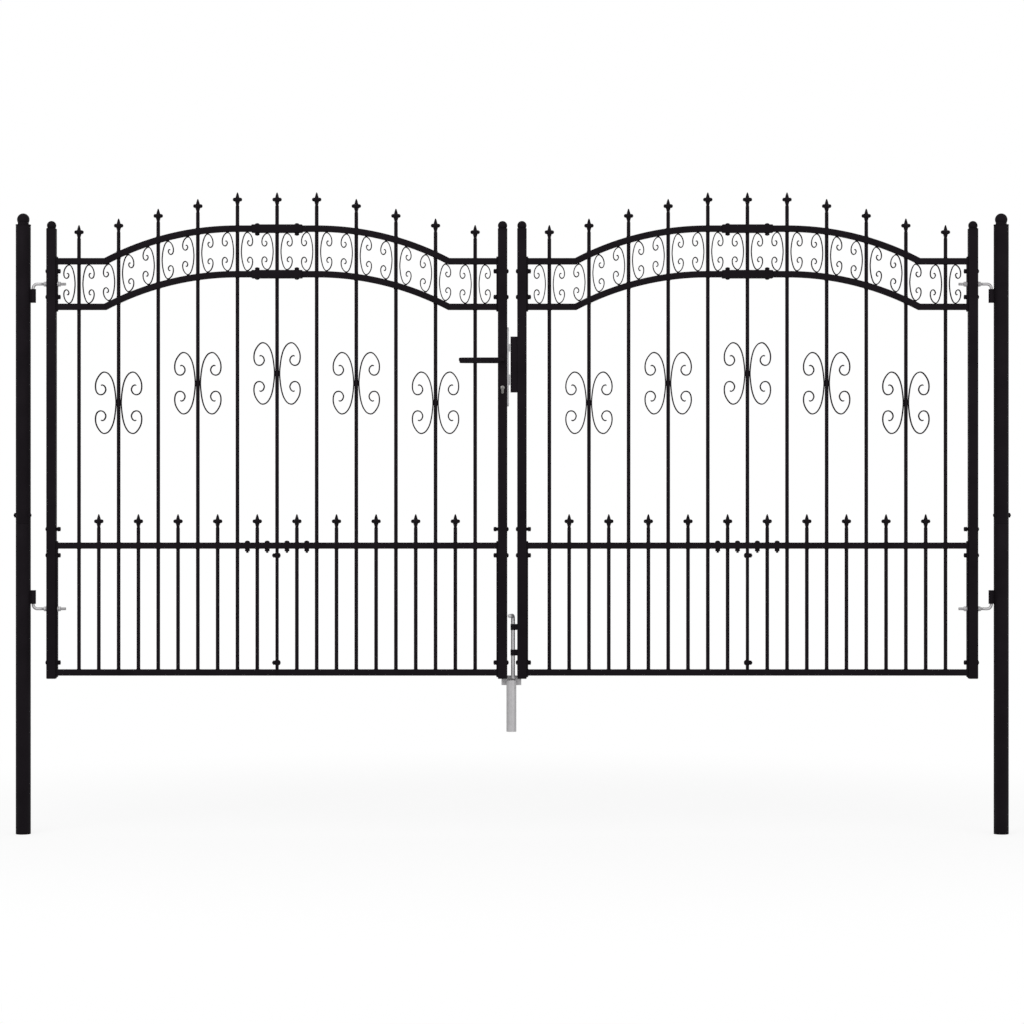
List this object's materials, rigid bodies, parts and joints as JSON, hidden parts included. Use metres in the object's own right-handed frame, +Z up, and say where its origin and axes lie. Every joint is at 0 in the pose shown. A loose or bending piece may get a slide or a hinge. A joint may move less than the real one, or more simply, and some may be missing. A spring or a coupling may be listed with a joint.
{
  "type": "double-leaf fence gate",
  "caption": "Black arched double-leaf garden gate with spear tops, scrollwork, lever lock and drop bolt, hung between two round ball-capped posts.",
  "frame": {"origin": "centre of the left post's foot, on its flat underside", "axes": "+X runs along the closed gate to the right post, +Y points to the back of the gate, away from the side the leaves open to, and +Z is up"},
  "size_m": [4.001, 0.142, 2.5847],
  "materials": {
    "black_coat": "satin black powder coat",
    "zinc_plate": "bright zinc plate, slightly mottled",
    "lock_steel": "brushed steel"
  },
  "bodies": {
    "posts": {"left_post_lower": "black_coat", "left_post_upper": "black_coat", "left_hinge_barrels": "black_coat", "right_post_lower": "black_coat", "right_post_upper": "black_coat", "right_hinge_barrels": "black_coat", "post_caps": "black_coat", "ground_sleeve": "zinc_plate"},
    "left_leaf": {"left_hinge_stile": "black_coat", "left_stile_caps": "black_coat", "left_outer_panel": "black_coat", "left_inner_panel": "black_coat", "left_centre_bar": "black_coat", "left_arch_sleeves": "black_coat", "left_spears": "black_coat", "left_band_scrolls": "black_coat", "left_bar_scrolls": "black_coat", "left_hinge_bolts": "zinc_plate", "left_meeting_stile": "black_coat", "lock_body": "lock_steel", "lock_cylinder": "lock_steel", "dead_bolt": "lock_steel"},
    "right_leaf": {"right_hinge_stile": "black_coat", "right_stile_caps": "black_coat", "right_outer_panel": "black_coat", "right_inner_panel": "black_coat", "right_centre_bar": "black_coat", "right_arch_sleeves": "black_coat", "right_spears": "black_coat", "right_band_scrolls": "black_coat", "right_bar_scrolls": "black_coat", "right_hinge_bolts": "zinc_plate", "right_meeting_stile": "black_coat", "keeper": "black_coat", "drop_bolt_guides": "black_coat"},
    "lever": {"front_lever": "black_coat", "back_lever": "black_coat", "lever_spindle": "lock_steel"},
    "latch": {"latch": "lock_steel"},
    "drop_bolt": {"drop_bolt": "zinc_plate"}
  },
  "joints": [
    {"name": "left_leaf_swing", "type": "hinge", "parent": "posts", "child": "left_leaf", "pos_m": [0.04, 0, 0], "axis": [0, 0, -1], "range_deg": [0, 90]},
    {"name": "right_leaf_swing", "type": "hinge", "parent": "posts", "child": "right_leaf", "pos_m": [3.9, 0, 0], "axis": [0, 0, 1], "range_deg": [0, 90]},
    {"name": "lever_turn", "type": "hinge", "parent": "left_leaf", "child": "lever", "pos_m": [1.931, 0, 1.908], "axis": [0, -1, 0], "range_deg": [0, 40], "stiffness_Nm_per_rad": 1, "springref_deg": -85.94},
    {"name": "latch_slide", "type": "slide", "parent": "left_leaf", "child": "latch", "axis": [-1, 0, 0], "range_m": [0, 0.006]},
    {"name": "drop_bolt_slide", "type": "slide", "parent": "right_leaf", "child": "drop_bolt", "axis": [0, 0, -1], "range_m": [0, 0.0205]}
  ],
  "couplings": [
    {"joint": "latch_slide", "follows": "lever_turn", "m_per_rad": 0.0085}
  ]
}
